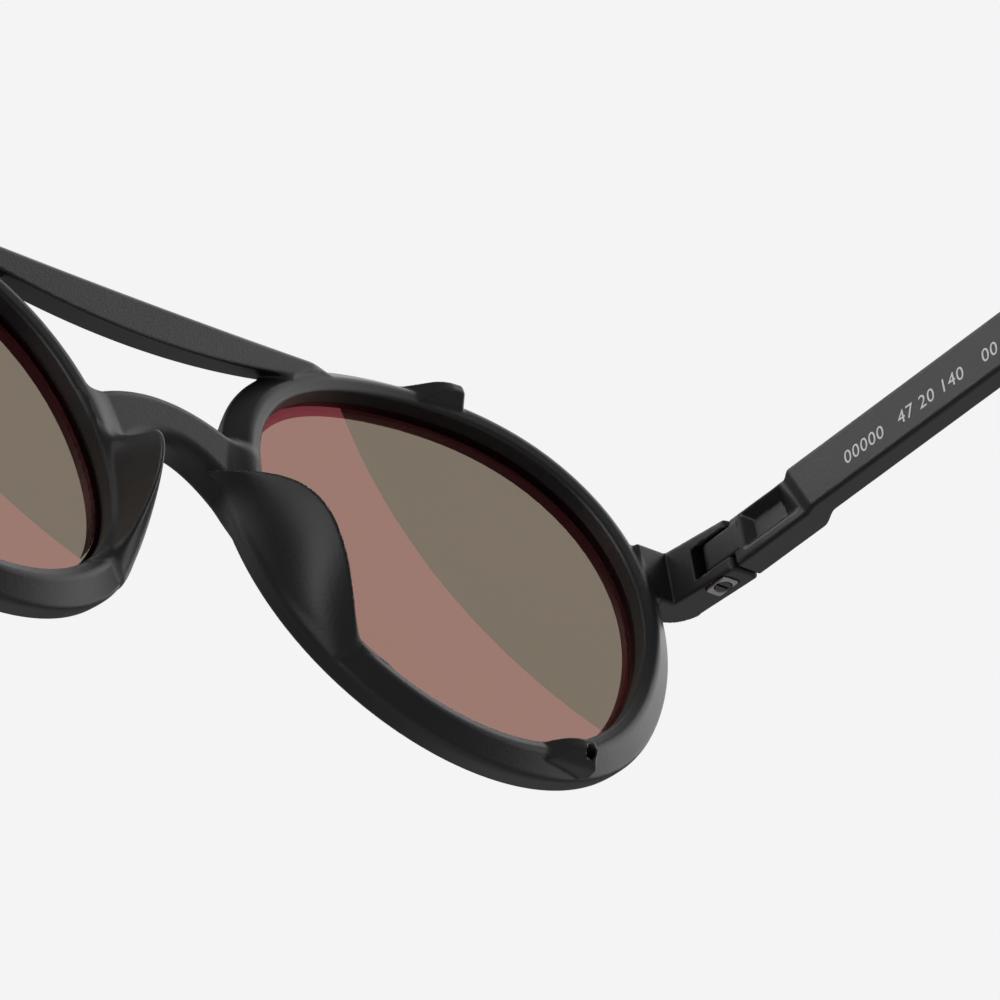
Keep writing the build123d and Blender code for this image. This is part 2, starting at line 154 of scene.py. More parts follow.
paper = material("painted_floor")
tree = paper.node_tree
grain = add(tree, "ShaderNodeTexNoise", {"Scale": 60.0})
tone = add(tree, "ShaderNodeMix", {6: linear("#F1F1F0"), 7: linear("#F5F5F4")},
           {0: grain.outputs["Fac"]}, data_type="RGBA")
shade = add(tree, "ShaderNodeBsdfPrincipled", {"Roughness": 0.9}, {"Base Color": tone.outputs[2]})
add(tree, "ShaderNodeOutputMaterial", (), {"Surface": shade.outputs[0]})
floor_height = -FLOOR_DROP
floor = plane("floor", (0, 0, floor_height), (0, 0, 1), FLOOR_SIZE, FLOOR_SIZE)
floor.data.materials.append(paper)

# name: (direction from the glasses, direction of its long side, distance, width, length, radiance)
SOFTBOXES = {
    "ceiling": ((-0.83, 0.11, 0.54), (-0.325, 0.70, -0.636), 1.2, 1.28, 2.6, 1.5),
    "window": ((0.1, 0.9, 0.45), (1.0, 0.0, 0.0), 1.3, 0.5, 1.2, 0.2),
    "reflector": ((-0.60, -0.55, -0.58), (0.7, -0.7, 0.0), 1.1, 0.9, 1.1, 0.3),
    "fill": ((0.55, -0.6, 0.58), (0.8, 0.6, 0.0), 1.4, 1.0, 1.2, 0.32),
    "side": ((0.97, 0.22, 0.03), (0.0, 0.0, 1.0), 1.2, 0.6, 0.8, 3.2),
    "overhead": ((0.5, -0.3, 0.8), (0.0, 1.0, 0.4), 1.3, 0.7, 0.9, 2.0),
}
for name, (direction, long_side, reach, width, length, radiance) in SOFTBOXES.items():
    lamp = bpy.data.objects.new(name, bpy.data.lights.new(name, "AREA"))
    lamp.data.shape = "RECTANGLE"
    lamp.data.size = width
    lamp.data.size_y = length
    lamp.data.energy = radiance * pi * width * length
    away = Vector(direction).normalized()
    rise = (Vector(long_side) - away * away.dot(Vector(long_side))).normalized()
    axes = Matrix((rise.cross(away), rise, away)).transposed().to_4x4()
    lamp.matrix_world = Matrix.Translation(aim + away * reach) @ axes
    lamp.visible_camera = False
    lamp.visible_transmission = False
    bpy.context.scene.collection.objects.link(lamp)

# ---------------------------------------------------------------- front moulding
# One injection moulding of black nylon: two round rims joined by a brow bar and a saddle
# bridge, with blade-like nose pads, wedges for side shields and forked hinge ends. Satin.
LENS_SPACING = 67.2
OPENING_RADIUS = 23.5
WRAP = radians(2.7)
LEAN = radians(8.3)
DOME_RADIUS = 107.5
RIM_WIDTH = 4.0
RIM_DEPTH = 4.4
LIP_DEPTH = 3.1             # where the front lip begins to reach over the lens
LIP_REACH = 0.3
INNER_EDGE = 0.4            # rounding of the rim's inner back edge


def round_max(a, b, r):
    """What two shapes share, with their common edge rounded."""
    return np.hypot(np.maximum(a + r, 0), np.maximum(b + r, 0)) + np.minimum(np.maximum(a, b), -r)


def round_min(a, b, r):
    """Two shapes in one, with a fillet between them."""
    return np.maximum(np.minimum(a, b), r) - np.hypot(np.maximum(r - a, 0), np.maximum(r - b, 0))


def opening_radius(turn):
    """Radius of the lens opening, by the angle from the temple side upwards, and its slope."""
    lean, tear, square = 2 * turn - radians(6), 3 * turn + radians(13), 4 * turn
    radius = OPENING_RADIUS + 1.19 * np.sin(lean) + 0.76 * np.sin(tear) - 0.20 * np.cos(square)
    slope = 2 * 1.19 * np.cos(lean) + 3 * 0.76 * np.cos(tear) + 4 * 0.20 * np.sin(square)
    return radius, slope


LENS_MIDDLE = np.array((-LENS_SPACING / 2, 0, 0))
TO_TEMPLE = np.array((-cos(WRAP), sin(WRAP) * cos(LEAN), sin(WRAP) * sin(LEAN)))
TO_EYE = np.array((sin(WRAP), cos(WRAP) * cos(LEAN), cos(WRAP) * sin(LEAN)))
TO_BROW = np.cross(TO_EYE, TO_TEMPLE)


def in_lens(x, y, z):
    """A point in the right lens's own frame: towards the temple, the brow and the eye."""
    place = (x - LENS_MIDDLE[0], y, z)
    return [sum(p * a for p, a in zip(place, axis)) for axis in (TO_TEMPLE, TO_BROW, TO_EYE)]


def round_lens(u, v, w):
    """Distance out from the opening's edge, and depth in front of the rim's domed back."""
    radius, slope = opening_radius(np.arctan2(v, u))
    away = np.maximum(np.hypot(u, v), 1.0)
    out = (away - radius) / np.sqrt(1 + (slope / away) ** 2)
    return out, DOME_RADIUS - np.sqrt(np.maximum(DOME_RADIUS ** 2 - away ** 2, 1.0)) - w


def rim(out, depth):
    """A rim's section: narrow flat back, long outer slope, bevelled front."""
    slope = ((out - 1.5) * 2.4 - depth * 2.5) / 3.466
    bevel = ((out - RIM_WIDTH) * 1.5 + (depth - 2.9) * 0.7) / 1.655
    body = round_max(-depth, slope, 0.35)
    body = round_max(body, out - RIM_WIDTH, 0.5)
    body = round_max(body, bevel, 0.6)
    return round_max(body, depth - RIM_DEPTH, 0.4)


def brow_bar(across, y, z, out):
    """The upper bar, whose underside slopes up towards the front."""
    under = (18.35 + 0.0063 * across ** 2 + 0.4286 * (-0.8 - y) - z) * 0.92
    body = round_max(y + 0.8, under, 0.35)
    body = round_max(body, z - 23.65 - 0.0006 * across ** 2, 1.0)
    body = round_max(body, -y - 4.6, 0.8)
    body = round_max(body, across - 26.5, 4.5)
    return np.maximum(body, 2.2 - out)


def bridge(across, y, z, out):
    """The saddle bridge, arched over the nose."""
    over = (z - 10.45 + 0.031 * across ** 2) / np.sqrt(1 + (0.062 * across) ** 2)
    under = (4.9 - 0.09 * across ** 2 - z) / np.sqrt(1 + (0.18 * across) ** 2)
    body = round_max(np.maximum(over, under), np.abs(y + 1.6) - 2.0, 1.5)
    body = np.maximum(body, across - 11.0)
    return np.maximum(body, 1.0 - out)


# The pad's ridge, which rests on the nose: heights, and its distance from the middle and back
PAD_HEIGHTS = np.array((2.3, 1.2, 0.1, -1.5, -3, -6, -9, -12, -15, -18, -20.5))
PAD_ACROSS = np.polyfit(PAD_HEIGHTS, (4.2, 5.6, 7.0, 8.1, 8.9, 10.1, 11.3, 12.3, 13.3, 15.0, 16.9), 5)
PAD_BACK = np.polyfit(PAD_HEIGHTS, (1.0, 3.3, 5.4, 7.2, 8.4, 9.7, 9.6, 8.6, 7.0, 4.9, 3.2), 5)
PAD_TOP, PAD_FOOT = 3.6, -23.5
PAD_ROUND = 0.5
PAD_CROWN = 0.7             # how far the nose side bulges between its edge and the ridge


def rim_line(heights, grow, depth):
    """Where the nose side of the rim is at some heights: distance from the middle, and back."""
    v = heights / cos(LEAN)
    u = -OPENING_RADIUS * np.ones_like(heights)
    for _ in range(6):
        radius = opening_radius(np.arctan2(v, u))[0] + grow
        u = -np.sqrt(np.maximum(radius ** 2 - v ** 2, 1.0))
    w = (u ** 2 + v ** 2) / (2 * DOME_RADIUS) - depth
    place = LENS_MIDDLE + np.outer(u, TO_TEMPLE) + np.outer(v, TO_BROW) + np.outer(w, TO_EYE)
    return -place[:, 0], place[:, 1]


levels = np.linspace(PAD_FOOT - 2, PAD_TOP + 2, 60)
NOSE_EDGE = rim_line(levels, RIM_WIDTH - 0.1, 2.6)
EYE_EDGE = rim_line(levels, 0.3, 0.1)
ridge_levels = np.clip(levels, -21.5, 2.6)
PAD_LINE = (np.polyval(PAD_ACROSS, ridge_levels), np.polyval(PAD_BACK, ridge_levels))
PAD_LINE = (PAD_LINE[0], PAD_LINE[1] + np.minimum(levels + 21.5, 0) * 0.9 - np.maximum(levels - 2.6, 0) * 2.0)


def nose_pad(across, y, z, depth):
    """A blade that stands back from the rim, with a rounded ridge along the nose."""
    lines = [[np.interp(z, levels, values) for values in line] for line in (NOSE_EDGE, PAD_LINE, EYE_EDGE)]
    faces = []
    for (x0, y0), (x1, y1), sign in ((lines[0], lines[1], 1.0), (lines[2], lines[1], -1.0)):
        run, rise = x1 - x0, y1 - y0
        faces.append(sign * ((y - y0) * run - (across - x0) * rise) / np.hypot(run, rise))
        share = ((across - x0) * run + (y - y0) * rise) / (run ** 2 + rise ** 2)
        crown = 4 * np.clip(share, 0, 1) * (1 - np.clip(share, 0, 1))
        if sign > 0:
            faces[0] = faces[0] - PAD_CROWN * crown
    body = round_max(faces[0], faces[1], PAD_ROUND)
    body = round_max(body, depth - 2.6, 0.3)
    body = round_max(body, z - PAD_TOP, 1.2)
    return np.maximum(np.maximum(body, across - 27.0), PAD_FOOT - z)


# The wedges that a side shield hooks over: turn round the opening, distance out
BOSS_TURNS = (radians(80), radians(-81))
BOSS_OUT = 1.7
BOSS_HALF = 3.8
BOSS_FOOT = 1.5             # from its middle to where the ramp begins
BOSS_RISE = 1.5
BOSS_HALF_WIDTH = 1.2
PEG_RADIUS = 0.6
PEG_DEPTH = 2.2


def boss_place(turn):
    """The middle of a wedge's foot in the lens frame."""
    reach = opening_radius(np.array(turn))[0] + BOSS_OUT
    return reach * cos(turn), reach * sin(turn), reach ** 2 / (2 * DOME_RADIUS)


def boss(turn, u, v, w):
    """A wedge that rises towards the temple and ends steeply."""
    u0, v0, w0 = boss_place(turn)
    along, rise = u - u0, w - w0
    ramp = (3.3 * rise - 2.1 * (along + BOSS_FOOT)) / 3.91
    end = (BOSS_RISE * (along - BOSS_HALF) + 0.4 * rise) / 1.552
    flank = (rise - BOSS_RISE - 1.1 * (v - v0 - 0.1)) / 1.487
    body = round_max(ramp, rise - BOSS_RISE, 0.7)
    body = round_max(body, flank, 0.12)
    body = round_max(body, end, 0.35)
    body = round_max(body, np.abs(v - v0) - BOSS_HALF_WIDTH, 0.3)
    return np.maximum(body, np.maximum(-1.5 - rise, np.abs(along) - BOSS_HALF))


def peg_bore(u, v, w):
    """The blind bore in the lower wedge."""
    u0, v0, w0 = boss_place(BOSS_TURNS[1])
    radial = np.hypot(u - u0 - BOSS_HALF + 1.1, v - v0) - PEG_RADIUS
    return np.maximum(radial, w0 + BOSS_RISE - PEG_DEPTH - w)


def hinge_axes(splay):
    """The right hinge's directions: to the nose, along the temple, up the pin."""
    slope = radians(3.0)
    along = np.array((-sin(splay), cos(splay) * cos(slope), -cos(splay) * sin(slope)))
    pin = np.array((0, sin(slope), cos(slope)))
    return np.cross(along, pin), along, pin


def in_hinge(x, y, z, splay=0.0):
    """A point in the hinge's frame, from the middle of the pin."""
    place = (x - HINGE_PLACE.x, y - HINGE_PLACE.y, z - HINGE_PLACE.z)
    return [sum(p * a for p, a in zip(place, axis)) for axis in hinge_axes(splay)]


CHEEK_OUTER = 2.1
BUTT = 3.2
FORK_TOP, FORK_BOTTOM, FORK_BACK = 2.0, 1.6, 2.0
PLATE_SHIFT = 0.1
PLATE_SIZE = (1.0, 1.5)
PLATE_ROUND = 0.4


def endpiece(a, b, c):
    """The block from the rim round the corner to the forked end, in the hinge frame."""
    inner = a - 1.55 + 0.05 * b
    lug = np.where((a > 0) & (b > 0), np.hypot(a, b), b) - BUTT
    over = c - np.minimum(3.25 - 0.094 * b, 3.75)
    under = -c - np.maximum(3.005 + 0.0765 * b, 2.6)
    corner = (-(a + CHEEK_OUTER) - (b + 6.6)) * 0.7071
    height = round_max(over, under, 0.4)
    outside = round_max(round_max(-a - CHEEK_OUTER, corner, 1.0), -b - 8.7, 1.0)
    cheek = round_max(round_max(inner, lug, 0.3), outside, 0.5)
    root = round_max(round_max(a - 5.6, b + 5.3, 0.3), outside, 0.5)
    return round_max(round_min(cheek, root, 0.15), height, 0.45)


def fork_slot(a, b, c):
    """The slot that the temple's tongue turns in."""
    sides = np.maximum(-a - 1.4, -b - FORK_BACK)
    return round_max(sides, np.maximum(c - FORK_TOP, -FORK_BOTTOM - c), 0.12)


def plate_outline(a, b, grow):
    """The hinge plate's rounded outline."""
    x = np.abs(a - PLATE_SHIFT) - PLATE_SIZE[0] + PLATE_ROUND
    y = np.abs(b) - PLATE_SIZE[1] + PLATE_ROUND
    return np.hypot(np.maximum(x, 0), np.maximum(y, 0)) + np.minimum(np.maximum(x, y), 0) - PLATE_ROUND - grow


def front(x, y, z):
    """The whole moulding, below zero inside; the left half mirrors the right."""
    across = np.abs(x)
    u, v, w = in_lens(-across, y, z)
    out, depth = round_lens(u, v, w)
    a, b, c = in_hinge(-across, y, z)
    body = round_min(rim(out, depth), brow_bar(across, y, z, out), 0.9)
    body = round_min(body, bridge(across, y, z, out), 1.3)
    body = round_min(body, nose_pad(across, y, z, depth), 0.6)
    body = round_min(body, np.maximum(endpiece(a, b, c), 1.0 - out), 0.5)
    for turn in BOSS_TURNS:
        body = round_min(body, boss(turn, u, v, w), 0.2)
    wall = -out - LIP_REACH * np.clip((depth - LIP_DEPTH) / 0.2, 0, 1)
    body = round_max(body, wall, INNER_EDGE)
    body = round_max(body, -peg_bore(u, v, w), 0.08)
    body = round_max(body, -fork_slot(a, b, c), 0.12)
    return round_max(body, -np.maximum(plate_outline(a, b, 0.07), c + 2.45), 0.06)


def slope_of(shape, points, step):
    """The shape's gradient at some points."""
    parts = []
    for axis in range(3):
        move = np.zeros(3)
        move[axis] = step
        parts.append(shape(*(points + move).T) - shape(*(points - move).T))
    return np.stack(parts, 1) / (2 * step)


def cast(name, shape, low, high, grain, budget=150000):
    """A closed mesh of where a shape is below zero, between two corners, in millimetres."""
    low, high = np.array(low, float), np.array(high, float)
    counts = np.ceil((high - low) / grain).astype(int) + 1
    y, z = np.meshgrid(*(low[i] + grain * np.arange(counts[i]) for i in (1, 2)), indexing="ij")
    block = np.empty(tuple(counts), np.float32)
    for i in range(counts[0]):
        block[i] = np.clip(shape(np.full_like(y, low[0] + grain * i), y, z), -3 * grain, 3 * grain)
    for side in (block[0], block[-1], block[:, 0], block[:, -1], block[:, :, 0], block[:, :, -1]):
        side[...] = np.maximum(side, grain)
    grid = openvdb.FloatGrid(3 * grain)
    grid.copyFromArray(block)
    points, triangles, quads = grid.convertToPolygons(isovalue=0.0, adaptivity=0.0)
    mesh = bpy.data.meshes.new(name)
    mesh.from_pydata(points * grain + low, [], [tuple(f) for f in quads] + [tuple(f) for f in triangles])
    made = bpy.data.objects.new(name, mesh)
    bpy.context.scene.collection.objects.link(made)
    faces = 2 * len(quads) + len(triangles)
    if faces > budget:
        thinner = made.modifiers.new("thinner", "DECIMATE")
        thinner.ratio = budget / faces
        mesh = bpy.data.meshes.new_from_object(made.evaluated_get(bpy.context.evaluated_depsgraph_get()))
        made.modifiers.clear()
        made.data = mesh
    place = np.empty(len(mesh.vertices) * 3)
    mesh.vertices.foreach_get("co", place)
    place = place.reshape(-1, 3)
    for _ in range(3):
        slope = slope_of(shape, place, 0.02)
        size = np.maximum((slope ** 2).sum(1), 0.25)
        move = shape(*place.T)[:, None] * slope / size[:, None]
        length = np.maximum(np.linalg.norm(move, axis=1, keepdims=True), 1e-9)
        place -= move * np.minimum(1, 0.4 * grain / length)
    normals = slope_of(shape, place, 0.02)
    normals /= np.maximum(np.linalg.norm(normals, axis=1, keepdims=True), 1e-9)
    finish_mesh(made, place, normals)
    return made


def finish_mesh(made, place, normals):
    """Puts a mesh in the model's frame, faces out, with its own smooth normals."""
    mesh = made.data
    mesh.vertices.foreach_set("co", to_model(place).ravel())
    mesh.update()
    faces = np.zeros(len(mesh.polygons) * 3)
    mesh.polygons.foreach_get("normal", faces)
    first = np.zeros(len(mesh.polygons), int)
    mesh.polygons.foreach_get("loop_start", first)
    corner = np.zeros(len(mesh.loops), int)
    mesh.loops.foreach_get("vertex_index", corner)
    if (faces.reshape(-1, 3) * normals[corner[first]]).sum() < 0:
        mesh.flip_normals()
    mesh.polygons.foreach_set("use_smooth", np.ones(len(mesh.polygons), bool))
    mesh.normals_split_custom_set_from_vertices([tuple(n) for n in normals])


def mirrored(made, name):
    """The same piece for the wearer's left."""
    mesh = made.data.copy()
    place = np.empty(len(mesh.vertices) * 3)
    mesh.vertices.foreach_get("co", place)
    place = place.reshape(-1, 3)
    corner = np.empty(len(mesh.loops), int)
    mesh.loops.foreach_get("vertex_index", corner)
    loops = np.empty(len(mesh.loops) * 3)
    mesh.corner_normals.foreach_get("vector", loops)
    normals = np.zeros_like(place)
    normals[corner] = loops.reshape(-1, 3)
    place[:, 0] *= -1
    normals[:, 0] *= -1
    mesh.vertices.foreach_set("co", place.ravel())
    mesh.flip_normals()
    mesh.normals_split_custom_set_from_vertices([tuple(n) for n in normals])
    other = bpy.data.objects.new(name, mesh)
    bpy.context.scene.collection.objects.link(other)
    return other


def moulded_nylon(name, colour, roughness, pits):
    """Glass-filled nylon from a spark-eroded mould: deep black with a fine dull grain."""
    made = material(name)
    tree = made.node_tree
    place = add(tree, "ShaderNodeTexCoord").outputs["Object"]
    fine = add(tree, "ShaderNodeTexNoise", {"Scale": 1 / (0.35 * MM), "Detail": 3.0}, {"Vector": place})
    broad = add(tree, "ShaderNodeTexNoise", {"Scale": 1 / (9 * MM), "Detail": 2.0}, {"Vector": place})
    bump = add(tree, "ShaderNodeBump", {"Strength": pits, "Distance": 0.03 * MM},
               {"Height": fine.outputs["Fac"]})
    gloss = add(tree, "ShaderNodeMapRange", {"To Min": roughness - 0.05, "To Max": roughness + 0.07},
                {"Value": broad.outputs["Fac"]})
    tone = add(tree, "ShaderNodeMapRange", {"To Min": 0.85, "To Max": 1.15}, {"Value": fine.outputs["Fac"]})
    dyed = add(tree, "ShaderNodeVectorMath", {0: linear(colour)[:3]},
               {"Scale": tone.outputs[0]}, operation="SCALE")
    shade = add(tree, "ShaderNodeBsdfPrincipled", {"IOR": 1.53}, {
        "Base Color": dyed.outputs[0], "Roughness": gloss.outputs[0], "Normal": bump.outputs[0]})
    add(tree, "ShaderNodeOutputMaterial", (), {"Surface": shade.outputs[0]})
    return made


nylon = moulded_nylon("spark_eroded_black_nylon", "#1A1A1C", 0.42, 0.5)
moulding = cast("front_moulding", front, (-67.2, -9.0, -28.2), (67.2, 12.4, 28.0), 0.25, 190000)
moulding.data.materials.append(nylon)
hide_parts("front_frame")
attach(moulding, "front")

# ---------------------------------------------------------------- lenses
# Two domed polycarbonate lenses, 1.4 mm thick, tinted grey-brown with a hard, slightly
# mirrored coat. Each snaps into the groove of its rim.
LENS_SET = 1.7
LENS_THICKNESS = 1.4
LENS_GRIP = 0.45
LENS_RINGS, LENS_TURNS = 28, 144


def lens_mesh(name):
    """A dome of even thickness, with its edge inside the rim."""
    turns = np.linspace(0, 2 * pi, LENS_TURNS, endpoint=False)
    edge = opening_radius(turns)[0] + LENS_GRIP
    shares = np.linspace(0, 1, LENS_RINGS + 1)[1:]
    layers = []
    for depth in (LENS_SET, LENS_SET + LENS_THICKNESS):
        radius = np.concatenate(([0.0], np.outer(shares, edge).ravel()))
        turn = np.concatenate(([0.0], np.tile(turns, LENS_RINGS)))
        height = DOME_RADIUS - np.sqrt(DOME_RADIUS ** 2 - radius ** 2) - depth
        layers.append(LENS_MIDDLE + np.outer(radius * np.cos(turn), TO_TEMPLE)
                      + np.outer(radius * np.sin(turn), TO_BROW) + np.outer(height, TO_EYE))
    count = len(layers[0])
    faces = []
    for i in range(LENS_TURNS):
        j = (i + 1) % LENS_TURNS
        faces += [(0, 1 + i, 1 + j), (count, count + 1 + j, count + 1 + i)]
        for ring in range(LENS_RINGS - 1):
            a, b = 1 + ring * LENS_TURNS, 1 + (ring + 1) * LENS_TURNS
            faces.append((a + i, b + i, b + j, a + j))
            faces.append((count + a + j, count + b + j, count + b + i, count + a + i))
        last = 1 + (LENS_RINGS - 1) * LENS_TURNS
        faces.append((last + i, count + last + i, count + last + j, last + j))
    mesh = bpy.data.meshes.new(name)
    mesh.from_pydata(to_model(np.concatenate(layers)), [], faces)
    mesh.polygons.foreach_set("use_smooth", np.ones(len(mesh.polygons), bool))
    mesh.set_sharp_from_angle(angle=radians(40))
    mesh.update()
    made = bpy.data.objects.new(name, mesh)
    bpy.context.scene.collection.objects.link(made)
    return made


def polycarbonate():
    """Moulded polycarbonate, dyed through and hard-coated: clear, glossy, faintly mirrored."""
    made = material("tinted_polycarbonate")
    tree = made.node_tree
    place = add(tree, "ShaderNodeTexCoord").outputs["Object"]
    flow = add(tree, "ShaderNodeTexNoise", {"Scale": 1 / (30 * MM)}, {"Vector": place})
    tint = add(tree, "ShaderNodeMix", {6: linear("#B6B5A9"), 7: linear("#B9B6AC")},
               {0: flow.outputs["Fac"]}, data_type="RGBA")
    body = add(tree, "ShaderNodeBsdfRefraction", {"Roughness": 0.015, "IOR": 1.585},
               {"Color": tint.outputs[2]})
    coat = add(tree, "ShaderNodeBsdfAnisotropic", {"Color": linear("#FF7A8A"), "Roughness": 0.015})
    shade = add(tree, "ShaderNodeMixShader", {0: 0.09}, {1: body.outputs[0], 2: coat.outputs[0]})
    add(tree, "ShaderNodeOutputMaterial", (), {"Surface": shade.outputs[0]})
    return made


lens_plastic = polycarbonate()
right_lens = lens_mesh("tinted_lens_right")
left_lens = mirrored(right_lens, "tinted_lens_left")
for lens, node in ((right_lens, "lens_right"), (left_lens, "lens_left")):
    lens.data.materials.clear()
    lens.data.materials.append(lens_plastic)
    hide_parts(node)
    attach(lens, "front")

# ---------------------------------------------------------------- temples
# Each temple is a flat nylon arm: a tongue that turns in the fork, a thick heel with a pocket
# for the side shield's clip, and a thin shaft that bends down behind the ear.
SPLAY = radians(0.9)
ARM_INNER = 1.7
ARM_HALF = 3.05
HEEL_OUTER = 2.1
SHAFT_OUTER = 0.9
HEEL_END = 12.85
HEEL_RUN = 3.0
HEEL_STEP = 0.45            # how far the heel's inner face and top lie under the shaft's
JOINT_END = 3.35
BEND_START, BEND_RADIUS, BEND_ANGLE = 92.0, 30.0, radians(42.0)
TIP_START, TIP_END = 82.0, 140.0
TONGUE_RADIUS = 1.3


def along_arm(a, b, c):
    """A point by its distance across, along the arm and above its middle line."""
    turn = np.clip(np.arctan2(b - BEND_START, c + BEND_RADIUS), 0, BEND_ANGLE)
    turn = np.where(b > BEND_START, turn, 0.0)
    sine, cosine = np.sin(turn), np.cos(turn)
    from_y, from_z = b - BEND_START, c + BEND_RADIUS
    run = from_y * cosine - from_z * sine
    rise = from_y * sine + from_z * cosine - BEND_RADIUS
    return a, BEND_START + BEND_RADIUS * turn + run, rise


def clip_pocket(a, s, t):
    """The recess that a side shield's clip springs into, with sloped walls."""
    deep = np.clip((ARM_INNER - HEEL_STEP - a) / 1.1, -0.2, 1)
    near, low, high = 4.85, -1.7, 2.4
    share = np.clip((t - low) / (high - low), 0, 1)
    far = (near + 7.8 - 2 * deep) * (1 - share) + (near + 5.8 - deep) * share
    walls = np.maximum(near + deep - s, (s - far) * 0.9) * 0.8
    heights = np.maximum(t - high + deep, low + deep - t) * 0.8
    return np.maximum(round_max(walls, heights, 0.2), 0.15 - a)


def arm(x, y, z):
    """The whole arm, below zero inside."""
    a, b, c = in_hinge(x, y, z, SPLAY)
    a, s, t = along_arm(a, b, c)
    thin = np.clip((s - TIP_START) / 0.3, 0, 1) * 0.7
    slope = np.clip((s - HEEL_END) / HEEL_RUN, 0, 1)
    slope = slope * slope * (3 - 2 * slope)
    outer = HEEL_OUTER + (SHAFT_OUTER - HEEL_OUTER) * slope
    rise = np.clip((s + 0.4 * t - 12.3) / 1.6, 0, 1)
    step = HEEL_STEP * (1 - rise * rise * (3 - 2 * rise))
    sides = np.maximum(a - ARM_INNER + step, -a - outer) + thin
    heights = np.maximum(t - ARM_HALF + step, -t - ARM_HALF) + thin
    body = round_max(sides, heights, 0.45)
    body = round_max(body, np.maximum(JOINT_END - s, s - TIP_START - 5.0), 0.25)
    reach = np.where(s > 0, np.abs(a), np.hypot(a, s)) - TONGUE_RADIUS
    head = round_max(reach, np.maximum(t - 1.9, -1.5 - t), 0.25)
    body = round_min(body, np.maximum(head, s - JOINT_END - 1.0), 0.12)
    return round_max(body, -clip_pocket(a, s, t), 0.25)


def temple_nylon():
    """The same nylon as the front, slightly glossier where the mould was polished."""
    return moulded_nylon("satin_black_nylon", "#1A1A1C", 0.4, 0.4)


arm_nylon = temple_nylon()
right_arm = cast("temple_right_arm", arm, (-67.6, 6.0, -1.5), (-61.8, 97.0, 11.5), 0.2, 120000)
left_arm = mirrored(right_arm, "temple_left_arm")
for piece, side in ((right_arm, "right"), (left_arm, "left")):
    piece.data.materials.clear()
    piece.data.materials.append(arm_nylon)
    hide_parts("temple_arm_" + side)
    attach(piece, side + "_temple")

# ---------------------------------------------------------------- temple tips
# Soft sleeves pushed over the ends of the arms, with a hole for the retaining cord. Matt,
# slightly dusty elastomer, so they grip behind the ears.
TIP_HALF, TIP_HALF_THICK = 3.8, 2.1
TIP_MIDDLE = ARM_INNER - 1.3
CORD_HOLE = 1.5
CORD_FROM_END = 6.5


def tip(x, y, z):
    """One sleeve, below zero inside."""
    a, s, t = along_arm(*in_hinge(x, y, z, SPLAY))
    middle_run = (TIP_START + TIP_END) / 2
    body = round_max(np.abs(t) - TIP_HALF, np.abs(s - middle_run) - (TIP_END - middle_run), 1.2)
    end = np.hypot(np.maximum(s - TIP_END + TIP_HALF, 0), t) - TIP_HALF
    body = np.maximum(body, np.where(s > TIP_END - TIP_HALF, end, -9.0))
    body = round_max(body, np.abs(a - TIP_MIDDLE) - TIP_HALF_THICK, 1.4)
    hole = np.hypot(s - TIP_END + CORD_FROM_END, t) - CORD_HOLE
    return round_max(body, -hole, 0.5)


def elastomer():
    """Moulded thermoplastic elastomer: matt black, with a soft bloom at grazing angles."""
    made = material("matt_black_elastomer")
    tree = made.node_tree
    place = add(tree, "ShaderNodeTexCoord").outputs["Object"]
    fine = add(tree, "ShaderNodeTexNoise", {"Scale": 1 / (0.5 * MM), "Detail": 4.0}, {"Vector": place})
    bump = add(tree, "ShaderNodeBump", {"Strength": 0.5, "Distance": 0.04 * MM},
               {"Height": fine.outputs["Fac"]})
    tone = add(tree, "ShaderNodeMix", {6: linear("#161617"), 7: linear("#212123")},
               {0: fine.outputs["Fac"]}, data_type="RGBA")
    shade = add(tree, "ShaderNodeBsdfPrincipled", {
        "Roughness": 0.62, "IOR": 1.5, "Sheen Weight": 0.15, "Sheen Roughness": 0.5},
        {"Base Color": tone.outputs[2], "Normal": bump.outputs[0]})
    add(tree, "ShaderNodeOutputMaterial", (), {"Surface": shade.outputs[0]})
    return made


rubber = elastomer()
right_tip = cast("ear_sleeve_right", tip, (-69.0, 88.0, -29.5), (-61.6, 143.0, 8.5), 0.25, 60000)
left_tip = mirrored(right_tip, "ear_sleeve_left")
for piece, side in ((right_tip, "right"), (left_tip, "left")):
    piece.data.materials.clear()
    piece.data.materials.append(rubber)
    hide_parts("temple_tip_" + side)
    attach(piece, side + "_temple")

# ---------------------------------------------------------------- hinge metal
# A stamped stainless plate let into the underside of each endpiece, with the countersunk
# hinge screw through it. Bright, with fine scratches from barrel tumbling.
PLATE_LOW, PLATE_HIGH = -3.2, -2.45
SCREW_HEAD = 0.85
SCREW_FOOT = -3.13
SCREW_SLOT = 0.13


def hinge_plate(x, y, z):
    """One plate with its countersunk hole, below zero inside."""
    a, b, c = in_hinge(x, y, z)
    body = round_max(plate_outline(a, b, 0.0), np.maximum(c - PLATE_HIGH, PLATE_LOW - c), 0.1)
    sink = np.hypot(a, b) - np.maximum(SCREW_HEAD + 0.12 - (c - PLATE_LOW) * 0.6, 0.62)
    return round_max(body, -sink, 0.04)


def hinge_screw(x, y, z):
    """One screw: slotted head below, shank up through the fork."""
    a, b, c = in_hinge(x, y, z)
    head = np.hypot(a, b) - np.clip(SCREW_HEAD - (c - SCREW_FOOT) * 0.55, 0.58, SCREW_HEAD)
    body = round_max(head, np.maximum(SCREW_FOOT - c, c - 2.75), 0.08)
    return round_max(body, -np.maximum(np.abs(b) - SCREW_SLOT, c - SCREW_FOOT - 0.28), 0.03)


